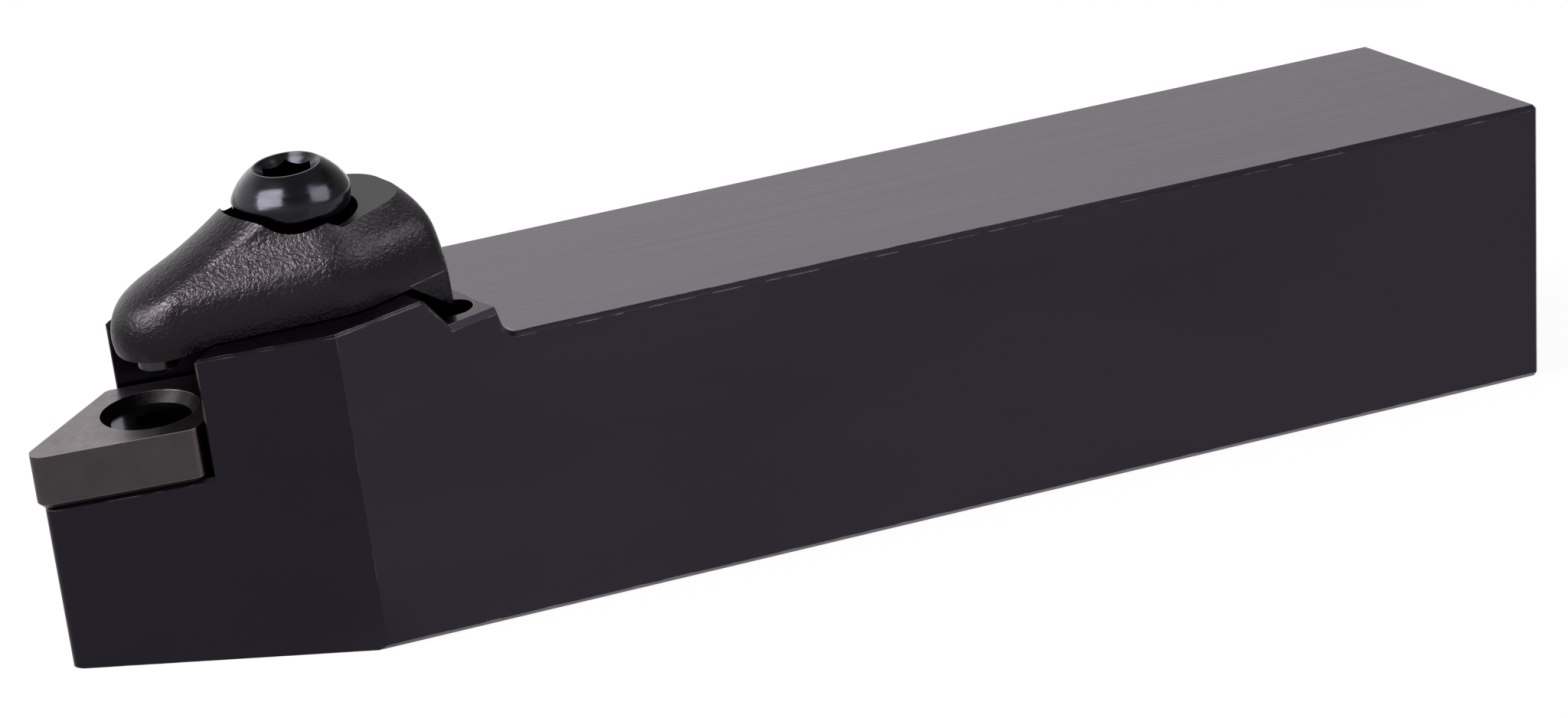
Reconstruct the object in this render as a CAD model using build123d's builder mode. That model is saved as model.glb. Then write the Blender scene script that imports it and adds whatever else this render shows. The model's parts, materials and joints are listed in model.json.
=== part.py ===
"""Turning tool holder with a 25 x 25 shank, neutral hand, for a 55 degree double-sided insert.

The holder carries a carbide shim in its pocket and a cast top clamp behind it. The clamp's
nose pin enters the hole of the insert, its heel stands on a ledge behind the tower, and one
socket screw draws it down and back. A small spring lifts the clamp when the screw is let out.
Sizes are in millimetres. X runs from the nose to the rear of the shank, Z is up.
"""
from build123d import *
import os
from math import cos, radians, sin, tan

os.makedirs("parts", exist_ok=True)

# ---------------------------------------------------------------- driving dimensions
# shank
shank_width = 25.0
shank_height = 25.0
functional_length = 150.0        # rear face to the rounded tip of a gauge insert
shank_edge_break = 0.4

# insert that the holder is made for (55 degree rhombus, double sided)
insert_angle = 55.0
insert_circle = 12.7             # inscribed circle
insert_thickness = 6.35
gauge_tip_radius = 0.8
seat_tilt = 8.5                  # the seat falls towards the nose by this angle

# shim
shim_thickness = 4.76
shim_setback = 0.3               # each side lies this far inside the insert's side
shim_tip_radius = 1.2
shim_side_radius = 0.8
shim_edge_chamfer = 0.45
shim_countersink_diameter = 8.4
shim_bore_diameter = 5.2

# shim screw
shim_screw_head_clearance = 0.03 # between the head's cone and the shim's
shim_screw_shank_diameter = 4.0
shim_screw_reach = 7.0           # below the pocket floor
shim_screw_socket = 2.5          # across flats
shim_screw_socket_depth = 1.8
shim_screw_sunk = 0.8            # head below the top of the shim
shim_screw_end_chamfer = 0.5

# head of the holder
head_half_angle = 27.75          # each side facet to the centre line, in the seat plane
head_apex = 1.5                  # sharp apex of the facets behind the insert's sharp tip
head_nose_radius = 1.0
tower_drop = 0.6                 # tower top below the top of the insert
tower_behind_screw = 3.58        # rear end of the tower top behind the screw axis
groove_wall_angle = 46.0         # front wall of the heel groove to the horizontal
ledge_drop = 3.65                # ledge for the heel below the top of the insert
ledge_behind_screw = 10.45       # crest of the ledge behind the screw axis
ledge_wall_angle = 68.0          # rear drop of the ledge to the horizontal
ledge_root_radius = 1.6
ledge_edge_chamfer = 0.5
tower_edge_radius = 0.5
head_edge_break = 0.2            # outline of the tower's top, front ends of the pocket walls
pocket_clearance = 0.26          # between the pocket walls and the insert
pocket_blunt = 0.35              # free space behind the rear tip of the insert
relief_hole_diameter = 3.6
relief_hole_behind_screw = 8.15
relief_hole_depth = 3.5
floor_edge_break = 0.3           # front edges of the pocket floor
tap_allowance = 1.5              # tapped holes are this much deeper than the screws reach

# clamp screw (button head, M6)
screw_behind_insert = 2.95       # axis behind the insert's sharp rear corner
screw_thread_diameter = 6.0
screw_length = 16.6              # under the head
screw_seat_diameter = 9.0        # bearing face under the head
screw_head_diameter = 10.1
screw_head_height = 6.3
screw_head_widest = 3.8          # widest part above the bearing face
screw_dome_diameter = 9.9        # foot of the dome
screw_dome_height = 2.2
screw_head_land = 5.8            # diameter of the flat ring at the top
screw_socket = 4.0               # across flats
screw_socket_depth = 3.2
screw_socket_chamfer_diameter = 5.5
screw_end_chamfer = 0.7
screw_seat_gap = 0.02
running_clearance = 0.05

# clamp
clamp_under = 0.5                # underside of the clamp below the top of the insert
clamp_flat_height = 5.5          # ground flat behind the screw, above the top of the insert
clamp_flat_start = 0.8           # front border of that flat behind the screw axis
clamp_flat_lead = 2.2            # length of the slope in front of it
clamp_flat_lead_rise = 1.2
clamp_bore_diameter = 7.2
counterbore_diameter = 11.4
counterbore_forward = 0.4        # the clamp sits this far back on its screw when drawn down
counterbore_floor = 3.6          # above the top of the insert
heel_height = 3.1                # heel below the underside
heel_root_behind_screw = 4.45
heel_sole = 0.5                  # length of the heel's sole
heel_behind_screw = 9.05         # rear of the heel behind the screw axis
heel_half_width = 9.1
nose_pad_drop = 0.42             # rear end of the pressure pad below the underside
nose_pad_angle = 6.0             # the pad under the nose falls to the front by this angle
nose_pad_behind_hole = 2.25      # rear end of the pad behind the insert's centre
nose_pad_rise = 1.6              # length of the slope from the pad to the underside
boss_roundness = 0.8             # radius of the boss's shoulders to its half width
clamp_height = 7.7               # top of the cast boss above the top of the insert
clamp_half_width = 10.0
nose_ahead = 1.7                 # front of the nose ahead of the insert's centre
nose_radius = 4.75
tail_behind_screw = 9.5          # rearmost point of the clamp's back
tail_corner_radius = 3.9
# Outlines of the cast body, from the heel's sole to the top, as shares of the sizes above: level,
# retreat of the nose towards the screw, nose radius, half width at the screw, rear end, half width
# of the tail and radius of its corners.
clamp_levels = (
    (0.000, 0.068, 0.926, 0.990, 0.953, 1.000, 0.359),
    (0.106, 0.035, 0.979, 0.995, 0.949, 1.000, 0.359),
    (0.212, 0.010, 1.011, 1.000, 0.947, 1.000, 0.359),
    (0.319, 0.000, 1.000, 1.000, 0.944, 0.998, 0.385),
    (0.469, 0.019, 0.916, 0.975, 0.958, 0.962, 0.513),
    (0.602, 0.087, 0.789, 0.900, 0.992, 0.874, 0.718),
    (0.708, 0.239, 0.674, 0.780, 0.995, 0.725, 0.897),
    (0.796, 0.408, 0.684, 0.650, 0.953, 0.544, 1.000),
    (0.867, 0.527, 0.747, 0.565, 0.863, 0.462, 0.949),
    (0.938, 0.625, 0.789, 0.495, 0.742, 0.396, 0.821),
    (1.000, 0.701, 0.758, 0.440, 0.600, 0.330, 0.718),
)

# nose pin
pin_behind_hole = 1.7            # further back than with an insert in the pocket
pin_diameter = 3.5
pin_below_insert_top = 3.0
pin_embedded = 3.2
pin_chamfer = 0.3

# spring
spring_wire = 0.6
spring_turns = 3.0
spring_inside_diameter = 6.6
spring_recess_clearance = 0.25
spring_recess_depth = 2.6
spring_end_gap = 0.05

# ---------------------------------------------------------------- derived sizes
tip_height = shank_height        # the cutting tip is level with the top of the shank
half_angle = insert_angle / 2
edge_length = insert_circle / sin(radians(insert_angle))
half_diagonal = edge_length * cos(radians(half_angle))
half_breadth = edge_length * sin(radians(half_angle))


def tip_setback(radius):
    """Distance from a sharp acute corner to the crown of its rounding."""
    return radius * (1 / sin(radians(half_angle)) - 1)


shim_inset = shim_setback / sin(radians(half_angle))
shim_front = shim_inset + tip_setback(shim_tip_radius)
sharp_tip_from_gauge = -tip_setback(gauge_tip_radius)
nose_from_gauge = (
    sharp_tip_from_gauge
    + shim_front * cos(radians(seat_tilt))
    + insert_thickness * sin(radians(seat_tilt))
)
overall_length = functional_length - nose_from_gauge
rear_x = overall_length / 2
sharp_tip_x = rear_x - functional_length + sharp_tip_from_gauge

# The seat frame: x runs rearward along the seat, z is the seat's normal. Its origin is the
# sharp tip of the insert, at the top of the insert.
seat = Plane(
    origin=(sharp_tip_x, 0, tip_height),
    x_dir=(cos(radians(seat_tilt)), 0, sin(radians(seat_tilt))),
    z_dir=(-sin(radians(seat_tilt)), 0, cos(radians(seat_tilt))),
)
floor_level = -insert_thickness - shim_thickness
screw_along = 2 * half_diagonal + screw_behind_insert
screw_seat_level = counterbore_floor + screw_seat_gap
far = 2 * functional_length      # longer than the whole holder
wide = shank_width               # half width of the cuts, wider than the holder


def seat_height(along, level):
    """X and Z of the point on the centre plane, given in the seat frame."""
    point = seat.from_local_coords(Vector(along, 0, level))
    return point.X, point.Z


def seat_place(along, level, across=0.0):
    """Place on the seat frame, with its z along the seat's normal."""
    return seat.offset(level).location * Location((along, across, 0))


def turning_plane(along):
    """Half plane of a turned piece: x is the radius, y the height above the insert."""
    return Plane(
        origin=seat.from_local_coords(Vector(along, 0, 0)),
        x_dir=seat.x_dir,
        z_dir=(0, -1, 0),
    )


# ---------------------------------------------------------------- holder body
tower_front = seat_height(-half_diagonal, -tower_drop)
tower_back = seat_height(screw_along + tower_behind_screw, -tower_drop)
ledge_back = seat_height(screw_along + ledge_behind_screw, -ledge_drop)
ledge_slope = tan(radians(seat_tilt))
groove_slope = tan(radians(groove_wall_angle))
ledge_line_at_tower = ledge_back[1] - (ledge_back[0] - tower_back[0]) * ledge_slope
groove_run = (tower_back[1] - ledge_line_at_tower) / (groove_slope + ledge_slope)
ledge_front = (tower_back[0] + groove_run, tower_back[1] - groove_run * groove_slope)
drop_run = (ledge_back[1] - shank_height) / tan(radians(ledge_wall_angle))
drop_foot = (ledge_back[0] + drop_run, shank_height)
ledge_middle = ((ledge_front[0] + ledge_back[0]) / 2, (ledge_front[1] + ledge_back[1]) / 2)

with BuildPart() as holder_body:
    with BuildSketch(Plane.XZ):
        with BuildLine():
            Polyline(
                (tower_front[0], 0),
                tower_front,
                tower_back,
                ledge_front,
                ledge_back,
                drop_foot,
                (rear_x, shank_height),
                (rear_x, 0),
                close=True,
            )
        make_face()
    extrude(amount=shank_width / 2, both=True)
    cross_edges = holder_body.edges().filter_by(Axis.Y)
    fillet(cross_edges.sort_by_distance((drop_foot[0], 0, drop_foot[1]))[0], ledge_root_radius)
    cross_edges = holder_body.edges().filter_by(Axis.Y)
    fillet(cross_edges.sort_by_distance((tower_back[0], 0, tower_back[1]))[0], tower_edge_radius)
    rear_edges = holder_body.faces().sort_by(Axis.X)[-1].edges()
    chamfer(holder_body.edges().filter_by(Axis.X) + rear_edges, shank_edge_break)
    side_edges = holder_body.edges().filter_by(Axis.Y, reverse=True)
    for side in (-1, 1):
        ledge_border = (ledge_middle[0], side * shank_width / 2, ledge_middle[1])
        chamfer(side_edges.sort_by_distance(ledge_border)[0], ledge_edge_chamfer)

    # the two side facets of the head stand along the seat's normal
    with BuildSketch(seat):
        facet_run = wide / tan(radians(head_half_angle))
        with BuildLine():
            Polyline(
                (head_apex, 0),
                (head_apex + facet_run, -wide),
                (far, -wide),
                (far, wide),
                (head_apex + facet_run, wide),
                close=True,
            )
        facets = make_face()
        fillet(facets.vertices().sort_by(Axis.X)[0], head_nose_radius)
    extrude(amount=far, both=True, mode=Mode.INTERSECT)

    # V pocket for shim and insert, open to the front
    with BuildSketch(seat.offset(floor_level)):
        pocket_apex = 2 * half_diagonal + pocket_clearance / sin(radians(half_angle))
        pocket_rear = 2 * half_diagonal - tip_setback(gauge_tip_radius) + pocket_blunt
        blunt_half = (pocket_apex - pocket_rear) * tan(radians(half_angle))
        front_u = pocket_apex - wide / tan(radians(half_angle))
        with BuildLine():
            Polyline(
                (front_u, -wide),
                (pocket_rear, -blunt_half),
                (pocket_rear, blunt_half),
                (front_u, wide),
                close=True,
            )
        make_face()
    extrude(amount=wide, mode=Mode.SUBTRACT)
    nose_point = seat.from_local_coords(Vector(head_apex, 0, floor_level))
    pocket_floor = holder_body.faces().sort_by_distance(nose_point).filter_by(seat)[0]
    chamfer(pocket_floor.outer_wire().edges().sort_by_distance(nose_point)[:3], floor_edge_break)

    # broken edges: the outline of the tower's top and the front ends of the pocket walls
    tower_top = holder_body.faces().filter_by(seat).sort_by(Axis(seat.origin, seat.z_dir))[-1]
    broken_edges = tower_top.outer_wire().edges().sort_by(Axis.X)[:-1]
    facet_slope = tan(radians(head_half_angle))
    wall_slope = tan(radians(half_angle))
    wall_front = (pocket_apex * wall_slope + head_apex * facet_slope) / (wall_slope + facet_slope)
    upright_edges = holder_body.edges().filter_by(Axis(seat.origin, seat.z_dir))
    for side in (-1, 1):
        across = side * (wall_front - head_apex) * facet_slope
        wall_end = seat.from_local_coords(Vector(wall_front, across, floor_level / 2))
        broken_edges += upright_edges.sort_by_distance(wall_end)[:1]
    chamfer(broken_edges, head_edge_break)

    # tapped holes for the two screws, drawn at the thread's outside
    with Locations(seat_place(half_diagonal, floor_level)):
        Hole(shim_screw_shank_diameter / 2 + running_clearance, shim_screw_reach + tap_allowance)
    with Locations(seat_place(screw_along, -tower_drop)):
        screw_reach = screw_length - screw_seat_level - tower_drop
        Hole(screw_thread_diameter / 2 + running_clearance, screw_reach + tap_allowance)

    # relief holes in the ledge, one under each corner of the clamp's heel
    relief_along = screw_along + relief_hole_behind_screw
    for side in (-1, 1):
        with Locations(seat_place(relief_along, -ledge_drop, side * heel_half_width)):
            Hole(relief_hole_diameter / 2, relief_hole_depth)

holder_body.part.label = "holder_body"
export_step(holder_body.part, "parts/holder_body.step")


# ---------------------------------------------------------------- shim
with BuildPart() as shim:
    with BuildSketch(seat.offset(floor_level)):
        shim_half = half_breadth - shim_setback / cos(radians(half_angle))
        with BuildLine():
            Polyline(
                (shim_inset, 0),
                (half_diagonal, -shim_half),
                (2 * half_diagonal - shim_inset, 0),
                (half_diagonal, shim_half),
                close=True,
            )
        make_face()
        fillet(vertices().sort_by(Axis.Y)[::3], shim_side_radius)
        fillet(vertices().sort_by(Axis.X)[:: len(vertices()) - 1], shim_tip_radius)
    extrude(amount=shim_thickness)
    chamfer(faces().sort_by(Axis(seat.origin, seat.z_dir))[0].edges(), shim_edge_chamfer)
    with Locations(seat_place(half_diagonal, -insert_thickness)):
        CounterSinkHole(shim_bore_diameter / 2, shim_countersink_diameter / 2, counter_sink_angle=90)
shim.part.label = "shim"
export_step(shim.part, "parts/shim.step")

# ---------------------------------------------------------------- shim screw
shim_head_top = -insert_thickness - shim_screw_sunk
with BuildPart() as shim_screw:
    lathe = turning_plane(half_diagonal)
    with BuildSketch(lathe):
        with BuildLine():
            head_radius = shim_countersink_diameter / 2 - shim_screw_sunk - shim_screw_head_clearance
            shank_radius = shim_screw_shank_diameter / 2
            cone_foot = shim_head_top - (head_radius - shank_radius)
            end_level = floor_level - shim_screw_reach
            Polyline(
                (0, end_level),
                (shank_radius - shim_screw_end_chamfer, end_level),
                (shank_radius, end_level + shim_screw_end_chamfer),
                (shank_radius, cone_foot),
                (head_radius, shim_head_top),
                (0, shim_head_top),
                close=True,
            )
        make_face()
    revolve(axis=Axis(lathe.origin, lathe.y_dir))
    with BuildSketch(Plane(seat_place(half_diagonal, shim_head_top))):
        RegularPolygon(shim_screw_socket / 2, 6, major_radius=False)
    extrude(amount=-shim_screw_socket_depth, mode=Mode.SUBTRACT)
shim_screw.part.label = "shim_screw"
export_step(shim_screw.part, "parts/shim_screw.step")

# ---------------------------------------------------------------- clamp
underside = -clamp_under
pad_level = underside - nose_pad_drop
heel_level = underside - heel_height
pin_length = pin_below_insert_top + pad_level + pin_embedded
spring_recess_radius = spring_inside_diameter / 2 + spring_wire + spring_recess_clearance


def clamp_outline(rise, retreat, nose_share, boss_share, rear_share, tail_share, corner_share):
    """Plan outline at one level: nose, boss round the screw and the two tail corners."""
    level = heel_level + rise * (clamp_height - heel_level)
    nose = nose_share * nose_radius
    front = half_diagonal - nose_ahead
    nose_centre = front + retreat * (screw_along - front) + nose
    boss = boss_share * clamp_half_width
    shoulder = boss * boss_roundness
    half_width = tail_share * heel_half_width
    corner = corner_share * tail_corner_radius
    tail = screw_along + rear_share * tail_behind_screw - corner
    with BuildSketch(seat.offset(level)) as outline:
        with Locations((nose_centre, 0)):
            Circle(nose)
        with Locations((screw_along, boss - shoulder), (screw_along, shoulder - boss)):
            Circle(shoulder)
        # turned round, so that the circles' seams lie inside the outline
        with Locations(Location((tail, half_width - corner, 0), (0, 0, 180))):
            Circle(corner)
        with Locations(Location((tail, corner - half_width, 0), (0, 0, 180))):
            Circle(corner)
        make_hull(mode=Mode.REPLACE)
    return outline


with BuildPart() as clamp:
    for shares in clamp_levels:
        add(clamp_outline(*shares).sketch)
    loft()

    # the ground flat behind the screw
    flat_along = screw_along + clamp_flat_start
    with BuildSketch(turning_plane(0)):
        with BuildLine():
            Polyline(
                (flat_along, clamp_flat_height),
                (flat_along - clamp_flat_lead, clamp_flat_height + clamp_flat_lead_rise),
                (flat_along - clamp_flat_lead, far),
                (far, far),
                (far, clamp_flat_height),
                close=True,
            )
        make_face()
    extrude(amount=wide, both=True, mode=Mode.SUBTRACT)

    # underside: pressure pad of the nose, relieved middle and heel
    nose_pad_end = half_diagonal + nose_pad_behind_hole
    sole_start = screw_along + heel_behind_screw - heel_sole
    with BuildSketch(turning_plane(0)):
        with BuildLine():
            Polyline(
                (0, -far),
                (0, pad_level - nose_pad_end * tan(radians(nose_pad_angle))),
                (nose_pad_end, pad_level),
                (nose_pad_end + nose_pad_rise, underside),
                (screw_along + heel_root_behind_screw, underside),
                (sole_start, heel_level),
                (far, heel_level),
                (far, -far),
                close=True,
            )
        make_face()
    extrude(amount=wide, both=True, mode=Mode.SUBTRACT)

    # screw hole with its counterbore, and the recess for the spring
    with Locations(seat_place(screw_along - counterbore_forward, clamp_height)):
        CounterBoreHole(
            clamp_bore_diameter / 2, counterbore_diameter / 2, clamp_height - counterbore_floor
        )
    with Locations(seat_place(screw_along, underside)):
        Cylinder(
            spring_recess_radius,
            spring_recess_depth,
            align=(Align.CENTER, Align.CENTER, Align.MIN),
            mode=Mode.SUBTRACT,
        )
    # hole for the pressed-in nose pin, open through the sloping pad
    with Locations(seat_place(half_diagonal + pin_behind_hole, -pin_below_insert_top)):
        Cylinder(
            pin_diameter / 2,
            pin_length,
            align=(Align.CENTER, Align.CENTER, Align.MIN),
            mode=Mode.SUBTRACT,
        )
clamp.part.label = "clamp"
export_step(clamp.part, "parts/clamp.step")

# ---------------------------------------------------------------- nose pin
with BuildPart() as clamp_pin:
    with Locations(seat_place(half_diagonal + pin_behind_hole, -pin_below_insert_top)):
        Cylinder(
            pin_diameter / 2,
            pin_length,
            align=(Align.CENTER, Align.CENTER, Align.MIN),
        )
    chamfer(edges().sort_by(Axis(seat.origin, seat.z_dir))[0], pin_chamfer)
clamp_pin.part.label = "clamp_pin"
export_step(clamp_pin.part, "parts/clamp_pin.step")

# ---------------------------------------------------------------- clamp screw
head_radius = screw_head_diameter / 2
dome_foot = screw_dome_diameter / 2
land_radius = screw_head_land / 2
thread_radius = screw_thread_diameter / 2
head_top = screw_seat_level + screw_head_height
thread_end = screw_seat_level - screw_length
# the dome is part of a sphere about the screw's axis
centre_drop = (dome_foot**2 - land_radius**2 - screw_dome_height**2) / (2 * screw_dome_height)
dome_radius = (dome_foot**2 + centre_drop**2) ** 0.5
with BuildPart() as clamp_screw:
    lathe = turning_plane(screw_along)
    with BuildSketch(lathe):
        with BuildLine():
            foot = (dome_foot, head_top - screw_dome_height)
            RadiusArc(foot, (land_radius, head_top), -dome_radius)
            Polyline(
                (land_radius, head_top),
                (0, head_top),
                (0, thread_end),
                (thread_radius - screw_end_chamfer, thread_end),
                (thread_radius, thread_end + screw_end_chamfer),
                (thread_radius, screw_seat_level),
                (screw_seat_diameter / 2, screw_seat_level),
                (head_radius, screw_seat_level + screw_head_widest),
                foot,
            )
        make_face()
    revolve(axis=Axis(lathe.origin, lathe.y_dir))
    with BuildSketch(Plane(seat_place(screw_along, head_top))):
        RegularPolygon(screw_socket / 2, 6, major_radius=False)
    extrude(amount=-screw_socket_depth, mode=Mode.SUBTRACT)
    chamfer_depth = (screw_socket_chamfer_diameter - screw_socket) / 2
    with Locations(seat_place(screw_along, head_top)):
        Cone(
            screw_socket / 2,
            screw_socket_chamfer_diameter / 2,
            chamfer_depth,
            align=(Align.CENTER, Align.CENTER, Align.MAX),
            mode=Mode.SUBTRACT,
        )
clamp_screw.part.label = "clamp_screw"
export_step(clamp_screw.part, "parts/clamp_screw.step")

# ---------------------------------------------------------------- spring
spring_bottom = -tower_drop + spring_end_gap
spring_top = underside + spring_recess_depth - spring_end_gap
spring_radius = spring_inside_diameter / 2 + spring_wire / 2
with BuildPart() as clamp_spring:
    coil_height = spring_top - spring_bottom - spring_wire
    with BuildLine() as coil:
        Helix(
            coil_height / spring_turns,
            coil_height,
            spring_radius,
            center=seat.from_local_coords(Vector(screw_along, 0, spring_bottom + spring_wire / 2)),
            direction=seat.z_dir,
        )
    with BuildSketch(Plane(origin=coil.line @ 0, z_dir=coil.line % 0)):
        Circle(spring_wire / 2)
    sweep()
clamp_spring.part.label = "clamp_spring"
export_step(clamp_spring.part, "parts/clamp_spring.step")
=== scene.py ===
"""Finishes and studio for a turning tool holder: blackened steel body, cast clamp, carbide shim.

Laid out as an add-on and run as a script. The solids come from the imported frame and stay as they
are. The operators here give them their surfaces, make the pieces that a frame keeps plain (the
spring and the screw's thread) and set up the stage. Lengths in the settings are in metres.
"""

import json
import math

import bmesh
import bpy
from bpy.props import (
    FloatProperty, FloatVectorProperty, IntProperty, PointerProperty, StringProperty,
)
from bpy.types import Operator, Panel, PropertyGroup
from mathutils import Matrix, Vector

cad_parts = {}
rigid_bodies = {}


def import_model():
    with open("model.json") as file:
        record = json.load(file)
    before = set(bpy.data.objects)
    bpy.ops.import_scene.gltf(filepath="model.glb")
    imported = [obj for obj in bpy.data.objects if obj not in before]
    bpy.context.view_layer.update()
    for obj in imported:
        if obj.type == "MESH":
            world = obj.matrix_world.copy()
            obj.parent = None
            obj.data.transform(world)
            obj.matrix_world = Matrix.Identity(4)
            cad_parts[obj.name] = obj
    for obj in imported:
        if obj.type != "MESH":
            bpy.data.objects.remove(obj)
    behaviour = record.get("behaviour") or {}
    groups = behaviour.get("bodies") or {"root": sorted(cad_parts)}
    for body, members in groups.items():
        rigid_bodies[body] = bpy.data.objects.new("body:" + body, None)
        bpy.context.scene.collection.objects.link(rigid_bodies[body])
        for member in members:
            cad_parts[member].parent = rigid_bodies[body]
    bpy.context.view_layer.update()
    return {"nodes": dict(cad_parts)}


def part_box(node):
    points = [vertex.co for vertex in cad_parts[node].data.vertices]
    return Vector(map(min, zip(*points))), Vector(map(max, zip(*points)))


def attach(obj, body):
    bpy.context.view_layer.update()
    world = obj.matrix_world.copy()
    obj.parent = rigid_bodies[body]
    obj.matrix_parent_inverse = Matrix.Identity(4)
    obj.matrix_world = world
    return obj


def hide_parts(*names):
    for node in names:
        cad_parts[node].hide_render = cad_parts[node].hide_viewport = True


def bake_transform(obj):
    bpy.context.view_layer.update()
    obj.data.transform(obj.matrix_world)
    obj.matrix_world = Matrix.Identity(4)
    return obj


bl_info = {
    "name": "Turning Tool Holder",
    "version": (1, 0, 0),
    "blender": (4, 5, 0),
    "location": "View3D > Sidebar > Tool Holder",
    "description": "Surfaces, spring, thread and studio of a turning tool holder",
    "category": "Object",
}

for leftover in list(bpy.data.objects):
    bpy.data.objects.remove(leftover)
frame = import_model()

MM = 0.001
SENSOR_WIDTH = 36.0

# The seat of the insert falls towards the nose by this angle. Both screws stand along its normal.
SEAT_TILT = math.radians(8.5)
SEAT_NORMAL = Vector((-math.sin(SEAT_TILT), 0.0, math.cos(SEAT_TILT)))
TO_SEAT = Matrix.Rotation(-SEAT_TILT, 4, "Y")


def axis_foot(node):
    """Point on the axis of a piece that is round about the seat's normal, at its lowest level."""
    low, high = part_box(node)
    corners = [TO_SEAT.inverted() @ vertex.co for vertex in frame["nodes"][node].data.vertices]
    along = [corner.x for corner in corners]
    level = [corner.z for corner in corners]
    return TO_SEAT @ Vector(((min(along) + max(along)) / 2, (low.y + high.y) / 2, min(level)))


# ---------------------------------------------------------------- settings
class StageSettings(PropertyGroup):
    """Camera, lamps, floor and room."""

    camera_place: FloatVectorProperty(
        name="Camera", description="Place of the camera", subtype="TRANSLATION",
        default=(-0.54272, -0.79440, 0.31102),
    )
    camera_target: FloatVectorProperty(
        name="Target", description="Point that the camera looks at", subtype="TRANSLATION",
        default=(0.002970, 0.002400, 0.011808),
    )
    camera_roll: FloatProperty(
        name="Roll", description="Turn of the camera about its own line of sight",
        subtype="ANGLE", default=math.radians(-1.3466),
    )
    camera_lens: FloatProperty(
        name="Lens", description="Focal length in millimetres", unit="CAMERA", default=269.45,
        min=1.0,
    )
    paper_colour: StringProperty(
        name="Paper", description="Colour of the floor and backdrop", default="#fefefe"
    )
    floor_half: FloatProperty(
        name="Floor", description="Half the side of the floor", subtype="DISTANCE", default=4.0
    )
    shadow_share: FloatProperty(
        name="Shadow", description="Share of the floor's shadow that is seen",
        subtype="FACTOR", default=0.06, min=0.0, max=1.0,
    )
    card_level: FloatProperty(
        name="Card", description="Level of the grey card in gloss", subtype="FACTOR",
        default=0.66, min=0.0, max=1.0,
    )
    left_power: FloatProperty(
        name="Left Lamp", description="Power of the left soft box", subtype="POWER", default=17.0
    )
    right_power: FloatProperty(
        name="Right Lamp", description="Power of the right soft box", subtype="POWER", default=5.0
    )
    nose_power: FloatProperty(
        name="Nose Lamp", description="Power of the soft box over the nose", subtype="POWER",
        default=13.0,
    )
    tail_power: FloatProperty(
        name="Tail Lamp", description="Power of the soft box over the tail", subtype="POWER",
        default=3.8,
    )
    room_level: FloatProperty(
        name="Room", description="Level of the room's own soft light", subtype="FACTOR",
        default=0.35, min=0.0, max=1.0,
    )
    overhead_level: FloatProperty(
        name="Overhead", description="Level of the room overhead in gloss", subtype="FACTOR",
        default=0.42, min=0.0, max=1.0,
    )
    sheet_level: FloatProperty(
        name="Sheet", description="What the white sheet at the back left adds in gloss",
        default=1.1, min=0.0,
    )
    grey_level: FloatProperty(
        name="Grey Sheet", description="Level of the grey sheet at the right in gloss",
        subtype="FACTOR", default=0.55, min=0.0, max=1.0,
    )


class FinishSettings(PropertyGroup):
    """Colours of the finishes and of a painted highlight, as sRGB hex values, and the places where
    a finish or a painted shade changes.
    """

    body_colour: StringProperty(
        name="Body", description="Blackened ground steel", default="#2e2a32"
    )
    tint_colour: StringProperty(
        name="Body Sheen", description="Tint of the body's gloss at a glancing angle",
        default="#fffaff",
    )
    worn_colour: StringProperty(
        name="Body Edges", description="Bare steel where the body's edges are worn",
        default="#8f8a8b",
    )
    clamp_colour: StringProperty(
        name="Clamp", description="Blackened cast steel", default="#2b282b"
    )
    seam_colour: StringProperty(
        name="Mould Line", description="Steel along the mould line", default="#6c696a"
    )
    screw_colour: StringProperty(
        name="Screws", description="Gloss black turned steel", default="#302f34"
    )
    shim_colour: StringProperty(
        name="Shim", description="Ground carbide", default="#70686b"
    )
    # Painted highlight along the shim's edges.
    rim_highlight_colour: StringProperty(
        name="Shim Edges", description="Carbide along the shim's edges", default="#aca5a4"
    )
    pin_colour: StringProperty(
        name="Pin", description="Blackened dowel pin", default="#454244"
    )
    spring_colour: StringProperty(
        name="Spring", description="Drawn spring wire", default="#9a9898"
    )
    flat_level: FloatProperty(
        name="Flat", description="Level of the clamp's ground flat along the seat's normal",
        subtype="DISTANCE", default=41.599 * MM,
    )
    seam_level: FloatProperty(
        name="Mould Line Level", description="Level of the mould line along the seat's normal",
        subtype="DISTANCE", default=35.8 * MM,
    )
    seam_start: FloatProperty(
        name="Mould Line Start", description="Where the mould line starts, along the seat",
        subtype="DISTANCE", default=-37.6 * MM,
    )
    # Inside this radius round the shim screw's axis, the shim is painted nearly black as shade in
    # the countersink.
    countersink_shade_radius: FloatProperty(
        name="Countersink", description="Radius round the shim's hole that is left as sintered",
        subtype="DISTANCE", default=5.5 * MM,
    )


class SpringSettings(PropertyGroup):
    """Sizes of the spring under the clamp."""

    wire: FloatProperty(
        name="Wire", description="Diameter of the wire", subtype="DISTANCE", default=0.45 * MM
    )
    turns: FloatProperty(name="Turns", description="Number of turns", default=4.0)
    steps: IntProperty(
        name="Steps", description="Rows of faces in one turn of the spring", default=40, min=8
    )
    around: IntProperty(
        name="Around", description="Faces around the wire", default=14, min=6, max=48
    )


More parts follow.
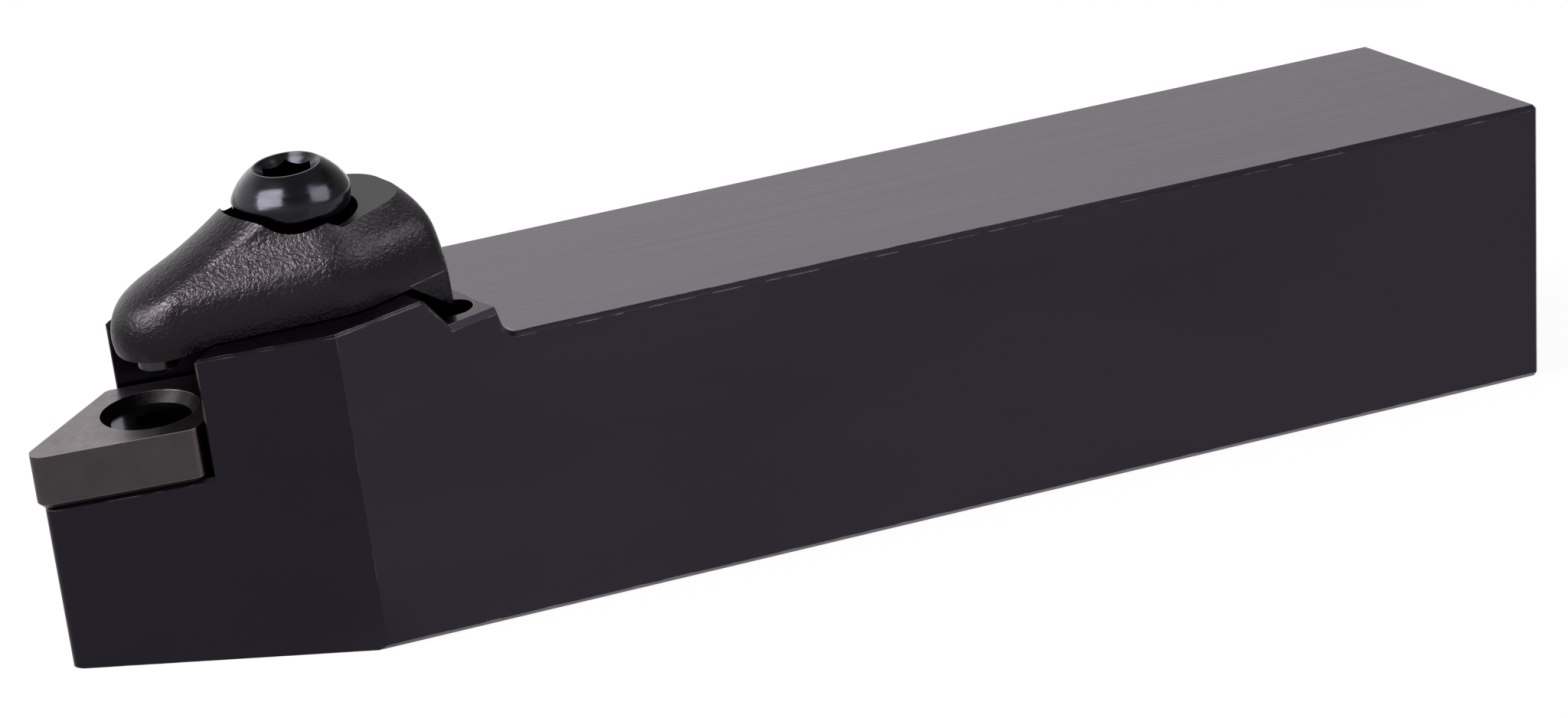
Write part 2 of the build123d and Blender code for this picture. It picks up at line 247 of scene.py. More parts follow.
class ThreadSettings(PropertyGroup):
    """Sizes of the clamp screw's thread."""

    pitch: FloatProperty(
        name="Pitch", description="Rise of the thread in one turn", subtype="DISTANCE",
        default=1.0 * MM,
    )
    depth: FloatProperty(
        name="Depth", description="Depth of the thread", subtype="DISTANCE", default=0.55 * MM
    )
    overlap: FloatProperty(
        name="Overlap", description="How far the threaded rod reaches into the head",
        subtype="DISTANCE", default=0.4 * MM,
    )
    rows_per_turn: IntProperty(
        name="Rows", description="Rows of faces in one turn of the thread", default=12, min=6
    )
    around: IntProperty(
        name="Around", description="Faces around the thread", default=60, min=12
    )
    sharp_angle: FloatProperty(
        name="Sharp Angle", description="Edges of the screw that bend more than this are sharp",
        subtype="ANGLE", default=math.radians(32),
    )


# ---------------------------------------------------------------- nodes and materials
# Nearly all values of a noise lie in its middle part.
NOISE_MIDDLE = {"From Min": 0.3, "From Max": 0.7}

# Sockets of a Mix node for colours: its share, its two colours and its result.
SHARE, FIRST, SECOND, MIXED = 0, 6, 7, 2

# The insert's point has 55 degrees, and the shim is ground along one side of it.
HALF_POINT = math.radians(27.5)

# The grey card's soft edge on the floor, along X.
CARD_FROM, CARD_TO = -56 * MM, -36 * MM


def linear(hex_colour):
    """Linear RGBA of an sRGB hex colour."""
    channels = [int(hex_colour[i:i + 2], 16) / 255 for i in (1, 3, 5)]
    bent = [c / 12.92 if c <= 0.04045 else ((c + 0.055) / 1.055) ** 2.4 for c in channels]
    return (*bent, 1.0)


def shaded(colour, share):
    """The colour made darker or lighter."""
    return (*(share * channel for channel in colour[:3]), 1.0)


def add_node(tree, kind, settings=None, inputs=None):
    """Add a node with its settings and its inputs, each a value or a link from (node, output)."""
    node = tree.nodes.new(kind)
    for name, value in (settings or {}).items():
        setattr(node, name, value)
    for socket, value in (inputs or {}).items():
        if isinstance(value, tuple) and isinstance(value[0], bpy.types.Node):
            tree.links.new(value[0].outputs[value[1]], node.inputs[socket])
        else:
            node.inputs[socket].default_value = value
    return node


def new_finish(name):
    """Empty material, its tree and its texture coordinates."""
    material = bpy.data.materials.new(name)
    material.use_nodes = True
    tree = material.node_tree
    tree.nodes.clear()
    return material, tree, add_node(tree, "ShaderNodeTexCoord")


def end_finish(tree, inputs):
    """Close the tree of a metal with its shader."""
    shader = add_node(tree, "ShaderNodeBsdfPrincipled", {}, {"Metallic": 1.0, **inputs})
    add_node(tree, "ShaderNodeOutputMaterial", {}, {"Surface": (shader, "BSDF")})


def grain(
    tree, place, size, output="Object", turn=(0.0, 0.0, 0.0), stretch=(1.0, 1.0, 1.0),
    detail=3.0, distortion=0.0,
):
    """Noise whose grains are about size across, drawn out along an axis by stretch."""
    mapping = add_node(
        tree, "ShaderNodeMapping", {},
        {
            "Vector": (place, output), "Rotation": turn,
            "Scale": tuple(1 / (size * share) for share in stretch),
        },
    )
    return add_node(
        tree, "ShaderNodeTexNoise", {},
        {
            "Vector": (mapping, "Vector"), "Scale": 1.0, "Detail": detail,
            "Distortion": distortion,
        },
    )


def uneven_colour(tree, pattern, colour, dark, light):
    """The colour from its dark share to its light share, by the middle part of a pattern."""
    share = add_node(
        tree, "ShaderNodeMapRange", {}, {**NOISE_MIDDLE, "Value": (pattern, "Fac")}
    )
    return add_node(
        tree, "ShaderNodeMix", {"data_type": "RGBA"},
        {SHARE: (share, "Result"), FIRST: shaded(colour, dark), SECOND: shaded(colour, light)},
    )


def marked(tree, pattern, smooth, rough, depth=0.0, strength=1.0):
    """Shader inputs for marks: roughness from smooth to rough, and a relief if it has a depth."""
    roughness = add_node(
        tree, "ShaderNodeMapRange", {},
        {**NOISE_MIDDLE, "Value": (pattern, "Fac"), "To Min": smooth, "To Max": rough},
    )
    inputs = {"Roughness": (roughness, "Result")}
    if depth:
        relief = add_node(
            tree, "ShaderNodeBump", {},
            {"Height": (pattern, "Fac"), "Distance": depth, "Strength": strength},
        )
        inputs["Normal"] = (relief, "Normal")
    return inputs


def seat_frame(tree, place, foot=Vector()):
    """Object coordinates with Z along the seat's normal, from the axis that goes through foot."""
    start = TO_SEAT.inverted() @ foot
    return add_node(
        tree, "ShaderNodeMapping", {},
        {
            "Vector": (place, "Object"), "Location": (-start.x, -start.y, 0.0),
            "Rotation": (0.0, SEAT_TILT, 0.0),
        },
    )


def facing_seat(tree, place, low, high):
    """1 where the surface faces along the seat's normal, 0 where it turns away, by its cosine."""
    cosine = add_node(
        tree, "ShaderNodeVectorMath", {"operation": "DOT_PRODUCT"},
        {0: (place, "Normal"), 1: SEAT_NORMAL},
    )
    return add_node(
        tree, "ShaderNodeMapRange", {},
        {"Value": (cosine, "Value"), "From Min": low, "From Max": high},
    )


def sharp_edges(tree, reach, low, high):
    """1 along sharp edges and 0 a little way off them, from how far the rounded normal bends."""
    rounded = add_node(tree, "ShaderNodeBevel", {"samples": 8}, {"Radius": reach})
    surface = add_node(tree, "ShaderNodeNewGeometry")
    cosine = add_node(
        tree, "ShaderNodeVectorMath", {"operation": "DOT_PRODUCT"},
        {0: (rounded, "Normal"), 1: (surface, "Normal")},
    )
    return add_node(
        tree, "ShaderNodeMapRange", {},
        {"Value": (cosine, "Value"), "From Min": high, "From Max": low},
    )


def blackened_ground_steel():
    """Ground steel in a black oxide bath: dark, faintly violet, smooth, bare along worn edges."""
    settings = bpy.context.scene.finish_settings
    material, tree, place = new_finish("blackened_ground_steel")
    # The bath takes a little unevenly, in clouds a centimetre or more across.
    clouds = grain(tree, place, 12 * MM, stretch=(3.0, 1.0, 1.0), detail=4.0)
    tone = uneven_colour(tree, clouds, linear(settings.body_colour), 0.94, 1.06)
    # Wheel marks run along the shank. Real ones are 0.02 mm apart and are drawn at 0.3 mm to show.
    marks = grain(tree, place, 0.3 * MM, stretch=(90.0, 1.0, 1.0), detail=2.0)
    # Handling rubs the black off the sharp edges in short runs, down to bright steel.
    edge = sharp_edges(tree, 0.16 * MM, 0.93, 0.985)
    rubs = grain(tree, place, 2.2 * MM, detail=5.0)
    runs = add_node(
        tree, "ShaderNodeMapRange", {},
        {"Value": (rubs, "Fac"), "From Min": 0.48, "From Max": 0.62},
    )
    bare = add_node(
        tree, "ShaderNodeMath", {"operation": "MULTIPLY"},
        {0: (edge, "Result"), 1: (runs, "Result")},
    )
    worn = add_node(
        tree, "ShaderNodeMix", {"data_type": "RGBA"},
        {
            SHARE: (bare, "Value"), FIRST: (tone, MIXED),
            SECOND: linear(settings.worn_colour),
        },
    )
    end_finish(tree, {
        "Base Color": (worn, MIXED), "Specular Tint": linear(settings.tint_colour),
        **marked(tree, marks, 0.2, 0.26, depth=0.002 * MM, strength=0.25),
    })
    return material


def blackened_cast_steel():
    """Investment casting, shot and blackened: a pebbled skin that glints, with one ground flat."""
    settings = bpy.context.scene.finish_settings
    material, tree, place = new_finish("blackened_cast_steel")
    seat = seat_frame(tree, place)
    parts = add_node(tree, "ShaderNodeSeparateXYZ", {}, {"Vector": (seat, "Vector")})
    # The flat behind the screw is ground after casting, so it has no pebbles.
    level = add_node(
        tree, "ShaderNodeMath", {"operation": "COMPARE"},
        {0: (parts, "Z"), 1: settings.flat_level, 2: 0.08 * MM},
    )
    upward = facing_seat(tree, place, 0.97, 0.99)
    flat = add_node(
        tree, "ShaderNodeMath", {"operation": "MULTIPLY"},
        {0: (level, "Value"), 1: (upward, "Result")},
    )
    lumps = grain(tree, place, 1.8 * MM, detail=2.0)
    uneven = add_node(
        tree, "ShaderNodeMapRange", {},
        {**NOISE_MIDDLE, "Value": (lumps, "Fac"), "To Min": 0.29, "To Max": 0.37},
    )
    roughness = add_node(
        tree, "ShaderNodeMix", {"data_type": "FLOAT"},
        {"Factor": (flat, "Value"), "A": (uneven, "Result"), "B": 0.42},
    )
    # Pebbles of 0.15 mm, drawn at 0.34 mm to show.
    pebbles = grain(tree, place, 0.34 * MM, detail=2.0, distortion=0.7)
    strength = add_node(
        tree, "ShaderNodeMapRange", {}, {"Value": (flat, "Value"), "To Min": 1.0, "To Max": 0.08}
    )
    skin = add_node(
        tree, "ShaderNodeBump", {},
        {"Height": (pebbles, "Fac"), "Strength": (strength, "Result"), "Distance": 0.07 * MM},
    )
    # The two halves of the mould left a fine, broken line just over the heel.
    seam = add_node(
        tree, "ShaderNodeMath", {"operation": "COMPARE"},
        {0: (parts, "Z"), 1: settings.seam_level, 2: 0.045 * MM},
    )
    behind = add_node(
        tree, "ShaderNodeMath", {"operation": "GREATER_THAN"},
        {0: (parts, "X"), 1: settings.seam_start},
    )
    line = add_node(
        tree, "ShaderNodeMath", {"operation": "MULTIPLY"},
        {0: (seam, "Value"), 1: (behind, "Value")},
    )
    gaps = add_node(
        tree, "ShaderNodeMapRange", {},
        {**NOISE_MIDDLE, "Value": (lumps, "Fac"), "To Min": 0.2, "To Max": 1.0},
    )
    broken = add_node(
        tree, "ShaderNodeMath", {"operation": "MULTIPLY"},
        {0: (line, "Value"), 1: (gaps, "Result")},
    )
    tone = add_node(
        tree, "ShaderNodeMix", {"data_type": "RGBA"},
        {
            SHARE: (broken, "Value"), FIRST: linear(settings.clamp_colour),
            SECOND: linear(settings.seam_colour),
        },
    )
    end_finish(tree, {
        "Base Color": (tone, MIXED), "Roughness": (roughness, "Result"),
        "Normal": (skin, "Normal"),
    })
    return material


def gloss_black_turned_steel(name, foot):
    """Turned and gloss blackened: the tool's rings run round the axis and break up the lights."""
    colour = linear(bpy.context.scene.finish_settings.screw_colour)
    material, tree, place = new_finish(name)
    # Feed marks of 0.1 mm, drawn at 0.3 mm to show, and 50 mm across, so that they close to rings.
    feed = grain(
        tree, seat_frame(tree, place, foot), 0.3 * MM, output="Vector",
        stretch=(50 / 0.3, 50 / 0.3, 1.0), detail=1.0,
    )
    tone = uneven_colour(tree, grain(tree, place, 1.2 * MM), colour, 0.88, 1.1)
    end_finish(tree, {
        "Base Color": (tone, MIXED), **marked(tree, feed, 0.13, 0.22, depth=0.014 * MM),
    })
    return material


def ground_carbide():
    """Sintered tungsten carbide, grey and satin where ground; its sides, as they left the press,
    and its countersink are darkened with painted shade, and its edges carry a painted highlight.
    """
    settings = bpy.context.scene.finish_settings
    colour = linear(settings.shim_colour)
    material, tree, place = new_finish("ground_carbide")
    clouds = grain(tree, place, 2.2 * MM, detail=6.0)
    ground = uneven_colour(tree, clouds, colour, 0.85, 1.15)
    # The sides are a darker copy of the carbide colour: painted shade.
    pressed_side_shade = uneven_colour(tree, clouds, colour, 0.45, 0.53)
    # The countersink is painted nearly black: painted shade in the recess.
    axis = seat_frame(tree, place, axis_foot("shim_screw"))
    across = add_node(
        tree, "ShaderNodeVectorMath", {"operation": "MULTIPLY"},
        {0: (axis, "Vector"), 1: (1.0, 1.0, 0.0)},
    )
    radius = add_node(
        tree, "ShaderNodeVectorMath", {"operation": "LENGTH"}, {0: (across, "Vector")}
    )
    hole = add_node(
        tree, "ShaderNodeMath", {"operation": "LESS_THAN"},
        {0: (radius, "Value"), 1: settings.countersink_shade_radius},
    )
    sides = add_node(
        tree, "ShaderNodeMix", {"data_type": "RGBA"},
        {SHARE: (hole, "Value"), FIRST: (pressed_side_shade, MIXED), SECOND: shaded(colour, 0.14)},
    )
    # Faces along the seat's normal get the ground colour, and the others the painted shade of the
    # sides.
    top = facing_seat(tree, place, 0.9, 0.97)
    tone = add_node(
        tree, "ShaderNodeMix", {"data_type": "RGBA"},
        {SHARE: (top, "Result"), FIRST: (sides, MIXED), SECOND: (ground, MIXED)},
    )
    # Its edges are honed a little, and a lighter colour along them is a painted highlight.
    edge = sharp_edges(tree, 0.12 * MM, 0.9, 0.985)
    rim = add_node(
        tree, "ShaderNodeMix", {"data_type": "RGBA"},
        {
            SHARE: (edge, "Result"), FIRST: (tone, MIXED),
            SECOND: linear(settings.rim_highlight_colour),
        },
    )
    # Grinding marks of 0.01 mm, drawn at 0.12 mm to show.
    marks = grain(
        tree, place, 0.12 * MM, turn=(0.0, 0.0, HALF_POINT), stretch=(40.0, 1.0, 1.0)
    )
    end_finish(tree, {
        "Base Color": (rim, MIXED),
        **marked(tree, marks, 0.26, 0.4, depth=0.004 * MM, strength=0.5),
    })
    return material


def blackened_dowel_pin():
    """Hardened dowel pin, ground round and lightly blackened: satin, with fine rings."""
    colour = linear(bpy.context.scene.finish_settings.pin_colour)
    material, tree, place = new_finish("blackened_dowel_pin")
    # Grinding rings of 0.01 mm, drawn at 0.14 mm to show.
    rings = grain(tree, place, 0.14 * MM, stretch=(12.0, 12.0, 1.0))
    tone = uneven_colour(tree, rings, colour, 0.85, 1.15)
    end_finish(tree, {"Base Color": (tone, MIXED), **marked(tree, rings, 0.24, 0.36)})
    return material


def drawn_spring_wire():
    """Cold-drawn wire: bright and satin, a little uneven from the die and its grease."""
    colour = linear(bpy.context.scene.finish_settings.spring_colour)
    material, tree, place = new_finish("drawn_spring_wire")
    marks = grain(tree, place, 0.15 * MM)
    tone = uneven_colour(tree, marks, colour, 0.85, 1.1)
    end_finish(tree, {"Base Color": (tone, MIXED), **marked(tree, marks, 0.26, 0.38)})
    return material


def paper_white():
    """White sweep: its own white to the eye and in gloss, a share of its shadow, a grey corner."""
    settings = bpy.context.scene.stage_settings
    colour = linear(settings.paper_colour)
    material, tree, place = new_finish("paper_white")
    parts = add_node(tree, "ShaderNodeSeparateXYZ", {}, {"Vector": (place, "Object")})
    # A grey card lies out of sight at the front left, and only gloss shows it.
    card = add_node(
        tree, "ShaderNodeMapRange", {"interpolation_type": "SMOOTHSTEP"},
        {
            "Value": (parts, "X"), "From Min": CARD_FROM, "From Max": CARD_TO,
            "To Min": settings.card_level, "To Max": 1.0,
        },
    )
    paper = add_node(tree, "ShaderNodeBsdfDiffuse", {}, {"Color": colour})
    white = add_node(tree, "ShaderNodeEmission", {}, {"Color": colour})
    shown = add_node(
        tree, "ShaderNodeEmission", {}, {"Color": colour, "Strength": (card, "Result")}
    )
    rays = add_node(tree, "ShaderNodeLightPath")
    kept = add_node(
        tree, "ShaderNodeMath", {"operation": "MULTIPLY"},
        {0: (rays, "Is Camera Ray"), 1: 1.0 - settings.shadow_share},
    )
    eye = add_node(
        tree, "ShaderNodeMixShader", {},
        {0: (kept, "Value"), 1: (paper, "BSDF"), 2: (white, "Emission")},
    )
    gloss = add_node(
        tree, "ShaderNodeMixShader", {},
        {0: (rays, "Is Glossy Ray"), 1: (eye, "Shader"), 2: (shown, "Emission")},
    )
    add_node(tree, "ShaderNodeOutputMaterial", {}, {"Surface": (gloss, "Shader")})
    return material


def dress(node, material):
    """Give a solid of the frame its finish."""
    mesh = frame["nodes"][node].data
    mesh.materials.clear()
    mesh.materials.append(material)


# ---------------------------------------------------------------- pieces
class TOOL_HOLDER_OT_body(Operator):
    """Finish the holder's body"""

    bl_idname = "tool_holder.body"
    bl_label = "Body"

    def execute(self, context):
        dress("holder_body", blackened_ground_steel())
        return {"FINISHED"}


class TOOL_HOLDER_OT_shim(Operator):
    """Finish the shim and its screw"""

    bl_idname = "tool_holder.shim"
    bl_label = "Shim"

    def execute(self, context):
        dress("shim", ground_carbide())
        foot = axis_foot("shim_screw")
        dress("shim_screw", gloss_black_turned_steel("gloss_black_shim_screw", foot))
        return {"FINISHED"}


class TOOL_HOLDER_OT_clamp(Operator):
    """Finish the clamp and its pin"""

    bl_idname = "tool_holder.clamp"
    bl_label = "Clamp"

    def execute(self, context):
        dress("clamp", blackened_cast_steel())
        dress("clamp_pin", blackened_dowel_pin())
        return {"FINISHED"}


def grown(name, tree, sizes, place):
    """Plain mesh object of a Geometry Nodes tree with these sizes, moved to its place."""
    seed = bpy.data.objects.new(name + "_seed", bpy.data.meshes.new(name + "_seed"))
    bpy.context.scene.collection.objects.link(seed)
    modifier = seed.modifiers.new("shape", "NODES")
    modifier.node_group = tree
    for socket in tree.interface.items_tree:
        if socket.in_out == "INPUT":
            modifier[socket.identifier] = sizes[socket.name]
    evaluated = seed.evaluated_get(bpy.context.evaluated_depsgraph_get())
    mesh = bpy.data.meshes.new_from_object(evaluated)
    mesh.name = name
    mesh.transform(place)
    seed.modifiers.remove(modifier)
    bpy.data.objects.remove(seed)
    piece = bpy.data.objects.new(name, mesh)
    bpy.context.scene.collection.objects.link(piece)
    return piece


def new_shape_tree(name, lengths, counts):
    """Empty Geometry Nodes tree with named inputs for lengths and counts, and its group input."""
    tree = bpy.data.node_groups.new(name, "GeometryNodeTree")
    tree.is_modifier = True
    tree.interface.new_socket("Geometry", in_out="OUTPUT", socket_type="NodeSocketGeometry")
    for labels, kind in ((lengths, "NodeSocketFloat"), (counts, "NodeSocketInt")):
        for label in labels:
            tree.interface.new_socket(label, in_out="INPUT", socket_type=kind)
    return tree, add_node(tree, "NodeGroupInput")


def end_shape_tree(tree, mesh, output, material):
    """Close a tree: smooth, real geometry with its finish."""
    smooth = add_node(tree, "GeometryNodeSetShadeSmooth", {}, {"Geometry": (mesh, output)})
    real = add_node(tree, "GeometryNodeRealizeInstances", {}, {"Geometry": (smooth, "Geometry")})
    finish = add_node(
        tree, "GeometryNodeSetMaterial", {},
        {"Geometry": (real, "Geometry"), "Material": material},
    )
    add_node(tree, "NodeGroupOutput", {}, {"Geometry": (finish, "Geometry")})
    return tree


# The thread's flank runs between these shares of half a pitch, from the root to the crest.
FLANK_FROM, FLANK_TO = 0.16, 0.86

# One row and a little more at each end of the rod lies at the end's own level.
END_ROWS = 1.3

# The rod's point starts below the roots, by this share of the thread's depth.
POINT_SHARE = 0.3

# Vertices nearer than this are one vertex, in the thread and in the head.
THREAD_MERGE, HEAD_MERGE = 0.001 * MM, 0.0005 * MM


def thread_tree(material):
    """Geometry Nodes: a sheet rolled into a rod, whose radius follows a rolled thread."""
    tree, sizes = new_shape_tree(
        "screw_thread", ("Length", "Outer", "Depth", "Pitch"), ("Rows", "Around")
    )
    add, subtract, multiply, divide = (
        {"operation": name} for name in ("ADD", "SUBTRACT", "MULTIPLY", "DIVIDE")
    )
    sheet = add_node(
        tree, "GeometryNodeMeshGrid", {},
        {
            "Size X": 1.0, "Size Y": 1.0,
            "Vertices X": (sizes, "Around"), "Vertices Y": (sizes, "Rows"),
        },
    )
    where = add_node(tree, "GeometryNodeInputPosition")
    parts = add_node(tree, "ShaderNodeSeparateXYZ", {}, {"Vector": (where, "Position")})
    turn = add_node(tree, "ShaderNodeMath", add, {0: (parts, "X"), 1: 0.5})
    rise = add_node(tree, "ShaderNodeMath", add, {0: (parts, "Y"), 1: 0.5})
    # The first and last rows close the ends, at the level of the rows next to them.
    row = add_node(tree, "ShaderNodeMath", divide, {0: 1.0, 1: (sizes, "Rows")})
    bottom = add_node(tree, "ShaderNodeMath", multiply, {0: (row, "Value"), 1: END_ROWS})
    top = add_node(tree, "ShaderNodeMath", subtract, {0: 1.0, 1: (bottom, "Value")})
    inner = add_node(
        tree, "ShaderNodeMapRange", {},
        {"Value": (rise, "Value"), "From Min": (bottom, "Value"), "From Max": (top, "Value")},
    )
    level = add_node(
        tree, "ShaderNodeMath", multiply, {0: (inner, "Result"), 1: (sizes, "Length")}
    )
    # The thread is a wave along the rod, which falls back by a pitch in each turn.
    pitches = add_node(
        tree, "ShaderNodeMath", divide, {0: (level, "Value"), 1: (sizes, "Pitch")}
    )
    phase = add_node(
        tree, "ShaderNodeMath", subtract, {0: (pitches, "Value"), 1: (turn, "Value")}
    )
    share = add_node(tree, "ShaderNodeMath", {"operation": "FRACT"}, {0: (phase, "Value")})
    swing = add_node(tree, "ShaderNodeMath", multiply, {0: (share, "Value"), 1: 2.0})
    centred = add_node(tree, "ShaderNodeMath", subtract, {0: (swing, "Value"), 1: 1.0})
    wave = add_node(tree, "ShaderNodeMath", {"operation": "ABSOLUTE"}, {0: (centred, "Value")})
    flank = add_node(
        tree, "ShaderNodeMapRange", {},
        {"Value": (wave, "Value"), "From Min": FLANK_FROM, "From Max": FLANK_TO},
    )
    root = add_node(
        tree, "ShaderNodeMath", subtract, {0: (sizes, "Outer"), 1: (sizes, "Depth")}
    )
    rod = add_node(
        tree, "ShaderNodeMath", {"operation": "MULTIPLY_ADD"},
        {0: (flank, "Result"), 1: (sizes, "Depth"), 2: (root, "Value")},
    )
    # The free end is chamfered at 45 degrees to below the roots.
    below = add_node(
        tree, "ShaderNodeMath", multiply, {0: (sizes, "Depth"), 1: POINT_SHARE}
    )
    end = add_node(tree, "ShaderNodeMath", subtract, {0: (root, "Value"), 1: (below, "Value")})
    point = add_node(tree, "ShaderNodeMath", add, {0: (end, "Value"), 1: (level, "Value")})
    full = add_node(
        tree, "ShaderNodeMath", {"operation": "MINIMUM"}, {0: (rod, "Value"), 1: (point, "Value")}
    )
    # Half a row in from each end, the radius drops to nothing.
    half = add_node(tree, "ShaderNodeMath", multiply, {0: (row, "Value"), 1: 0.5})
    rest = add_node(tree, "ShaderNodeMath", subtract, {0: 1.0, 1: (half, "Value")})
    above = add_node(
        tree, "ShaderNodeMath", {"operation": "GREATER_THAN"},
        {0: (rise, "Value"), 1: (half, "Value")},
    )
    under = add_node(
        tree, "ShaderNodeMath", {"operation": "LESS_THAN"},
        {0: (rise, "Value"), 1: (rest, "Value")},
    )
    inside = add_node(
        tree, "ShaderNodeMath", multiply, {0: (above, "Value"), 1: (under, "Value")}
    )
    radius = add_node(
        tree, "ShaderNodeMath", multiply, {0: (full, "Value"), 1: (inside, "Value")}
    )
    angle = add_node(tree, "ShaderNodeMath", multiply, {0: (turn, "Value"), 1: 2 * math.pi})
    cosine = add_node(tree, "ShaderNodeMath", {"operation": "COSINE"}, {0: (angle, "Value")})
    sine = add_node(tree, "ShaderNodeMath", {"operation": "SINE"}, {0: (angle, "Value")})
    across = add_node(
        tree, "ShaderNodeMath", multiply, {0: (radius, "Value"), 1: (cosine, "Value")}
    )
    along = add_node(
        tree, "ShaderNodeMath", multiply, {0: (radius, "Value"), 1: (sine, "Value")}
    )
    spot = add_node(
        tree, "ShaderNodeCombineXYZ", {},
        {"X": (across, "Value"), "Y": (along, "Value"), "Z": (level, "Value")},
    )
    rolled = add_node(
        tree, "GeometryNodeSetPosition", {},
        {"Geometry": (sheet, "Mesh"), "Position": (spot, "Vector")},
    )
    closed = add_node(
        tree, "GeometryNodeMergeByDistance", {},
        {"Geometry": (rolled, "Geometry"), "Distance": THREAD_MERGE},
    )
    return end_shape_tree(tree, closed, "Geometry", material)


def cut_head(finish, place):
    """Copy of the screw's head, cut off under its seat and closed there, and the rod's sizes."""
    form = bmesh.new()
    form.from_mesh(frame["nodes"]["clamp_screw"].data)
    form.transform(place.inverted())
    bmesh.ops.remove_doubles(form, verts=form.verts, dist=HEAD_MERGE)
    # Up to this level there is only the rod, and the head is wider than the rod.
    rod_level, head_share, slack = 4 * MM, 1.15, 0.01 * MM
    reach = [(math.hypot(v.co.x, v.co.y), v.co.z) for v in form.verts]
    outer = max(radius for radius, level in reach if level < rod_level)
    seat = min(level for radius, level in reach if radius > head_share * outer)
    rod = [face for face in form.faces if face.calc_center_median().z < seat - slack]
    bmesh.ops.delete(form, geom=rod, context="FACES")
    rim = [edge for edge in form.edges if edge.is_boundary]
    bmesh.ops.holes_fill(form, edges=rim, sides=0)
    form.transform(place)
    mesh = bpy.data.meshes.new("clamp_screw_head")
    form.to_mesh(mesh)
    form.free()
    mesh.attributes.remove(mesh.attributes["custom_normal"])
    mesh.shade_smooth()
    mesh.materials.append(finish)
    head = bpy.data.objects.new("clamp_screw_head", mesh)
    bpy.context.scene.collection.objects.link(head)
    return head, outer, seat


class TOOL_HOLDER_OT_screw(Operator):
    """Finish the clamp screw and cut its thread"""

    bl_idname = "tool_holder.screw"
    bl_label = "Clamp Screw"

    def execute(self, context):
        sizes = context.scene.thread_settings
        foot = axis_foot("clamp_screw")
        finish = gloss_black_turned_steel("gloss_black_clamp_screw", foot)
        place = TO_SEAT @ Matrix.Translation(TO_SEAT.inverted() @ foot)
        head, outer, seat = cut_head(finish, place)
        length = seat + sizes.overlap
        thread = grown("clamp_screw_thread", thread_tree(finish), {
            "Length": length, "Outer": outer, "Depth": sizes.depth, "Pitch": sizes.pitch,
            "Rows": int(length / sizes.pitch * sizes.rows_per_turn), "Around": sizes.around + 1,
        }, place)
        for piece in (head, thread):
            piece.data.set_sharp_from_angle(angle=sizes.sharp_angle)
            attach(piece, "clamp_screw")
        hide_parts("clamp_screw")
        return {"FINISHED"}


def spring_tree(material):
    """Geometry Nodes: a round wire swept along a helix."""
    tree, sizes = new_shape_tree(
        "spring_wire", ("Turns", "Radius", "Height", "Wire"), ("Steps", "Around")
    )
    coil = add_node(
        tree, "GeometryNodeCurveSpiral", {},
        {
            "Resolution": (sizes, "Steps"), "Rotations": (sizes, "Turns"),
            "Start Radius": (sizes, "Radius"), "End Radius": (sizes, "Radius"),
            "Height": (sizes, "Height"),
        },
    )
    half = add_node(
        tree, "ShaderNodeMath", {"operation": "MULTIPLY"}, {0: (sizes, "Wire"), 1: 0.5}
    )
    section = add_node(
        tree, "GeometryNodeCurvePrimitiveCircle", {},
        {"Resolution": (sizes, "Around"), "Radius": (half, "Value")},
    )
    swept = add_node(
        tree, "GeometryNodeCurveToMesh", {},
        {"Curve": (coil, "Curve"), "Profile Curve": (section, "Curve"), "Fill Caps": True},
    )
    return end_shape_tree(tree, swept, "Mesh", material)


class TOOL_HOLDER_OT_spring(Operator):
    """Wind the spring under the clamp"""

    bl_idname = "tool_holder.spring"
    bl_label = "Spring"

    def execute(self, context):
        sizes = context.scene.spring_settings
        low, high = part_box("clamp_spring")
        solid = frame["nodes"]["clamp_spring"].data
        levels = [(TO_SEAT.inverted() @ vertex.co).z for vertex in solid.vertices]
        height = max(levels) - min(levels) - sizes.wire
        start = TO_SEAT.inverted() @ axis_foot("clamp_screw")
        start.z = min(levels) + sizes.wire / 2
        spring = grown("spring_coil", spring_tree(drawn_spring_wire()), {
            "Turns": sizes.turns, "Radius": (high.y - low.y - sizes.wire) / 2, "Height": height,
            "Wire": sizes.wire, "Steps": sizes.steps, "Around": sizes.around,
        }, TO_SEAT @ Matrix.Translation(start))
        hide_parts("clamp_spring")
        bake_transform(spring)
        return {"FINISHED"}


# ---------------------------------------------------------------- stage
# Soft boxes, each a metre from the screw's head: the way to it, the way its height runs, its
# width and height, and the solids that it is kept on (True) or off (False). The screw's bright
# head shows the first two, and the other two give the cast skin its bright band.
SOFT_BOXES = (
    ("left", (-0.78, 0.0, 0.62), (0.537, 0.537, 0.65), (0.78, 0.57), {}),
    ("right", (0.41, -0.62, 0.67), (0.127, 0.81, 0.57), (0.6, 0.52), {"clamp": False}),
    ("nose", (-0.42, -0.14, 0.89), (0.0, 1.0, 0.0), (0.3, 0.2), {"clamp": True}),
    ("tail", (0.5, -0.24, 0.82), (0.0, 1.0, 0.0), (0.34, 0.5), {"clamp": True}),
)

# The room in gloss falls off overhead. A brighter white sheet hangs at the back left, and a grey
# one stands at the right. Each has a soft edge from the first value to the second.
OVERHEAD_FROM, OVERHEAD_TO = 0.42, 0.68
SHEET_WAY, SHEET_FROM, SHEET_TO = (-0.317, 0.871, 0.375), 0.4, 1.0
GREY_FROM, GREY_TO = 0.56, 0.76

# The floor lies this far under the object, so that their faces don't share a level.
FLOOR_DROP = 0.02 * MM
FAR_CLIP = 20.0


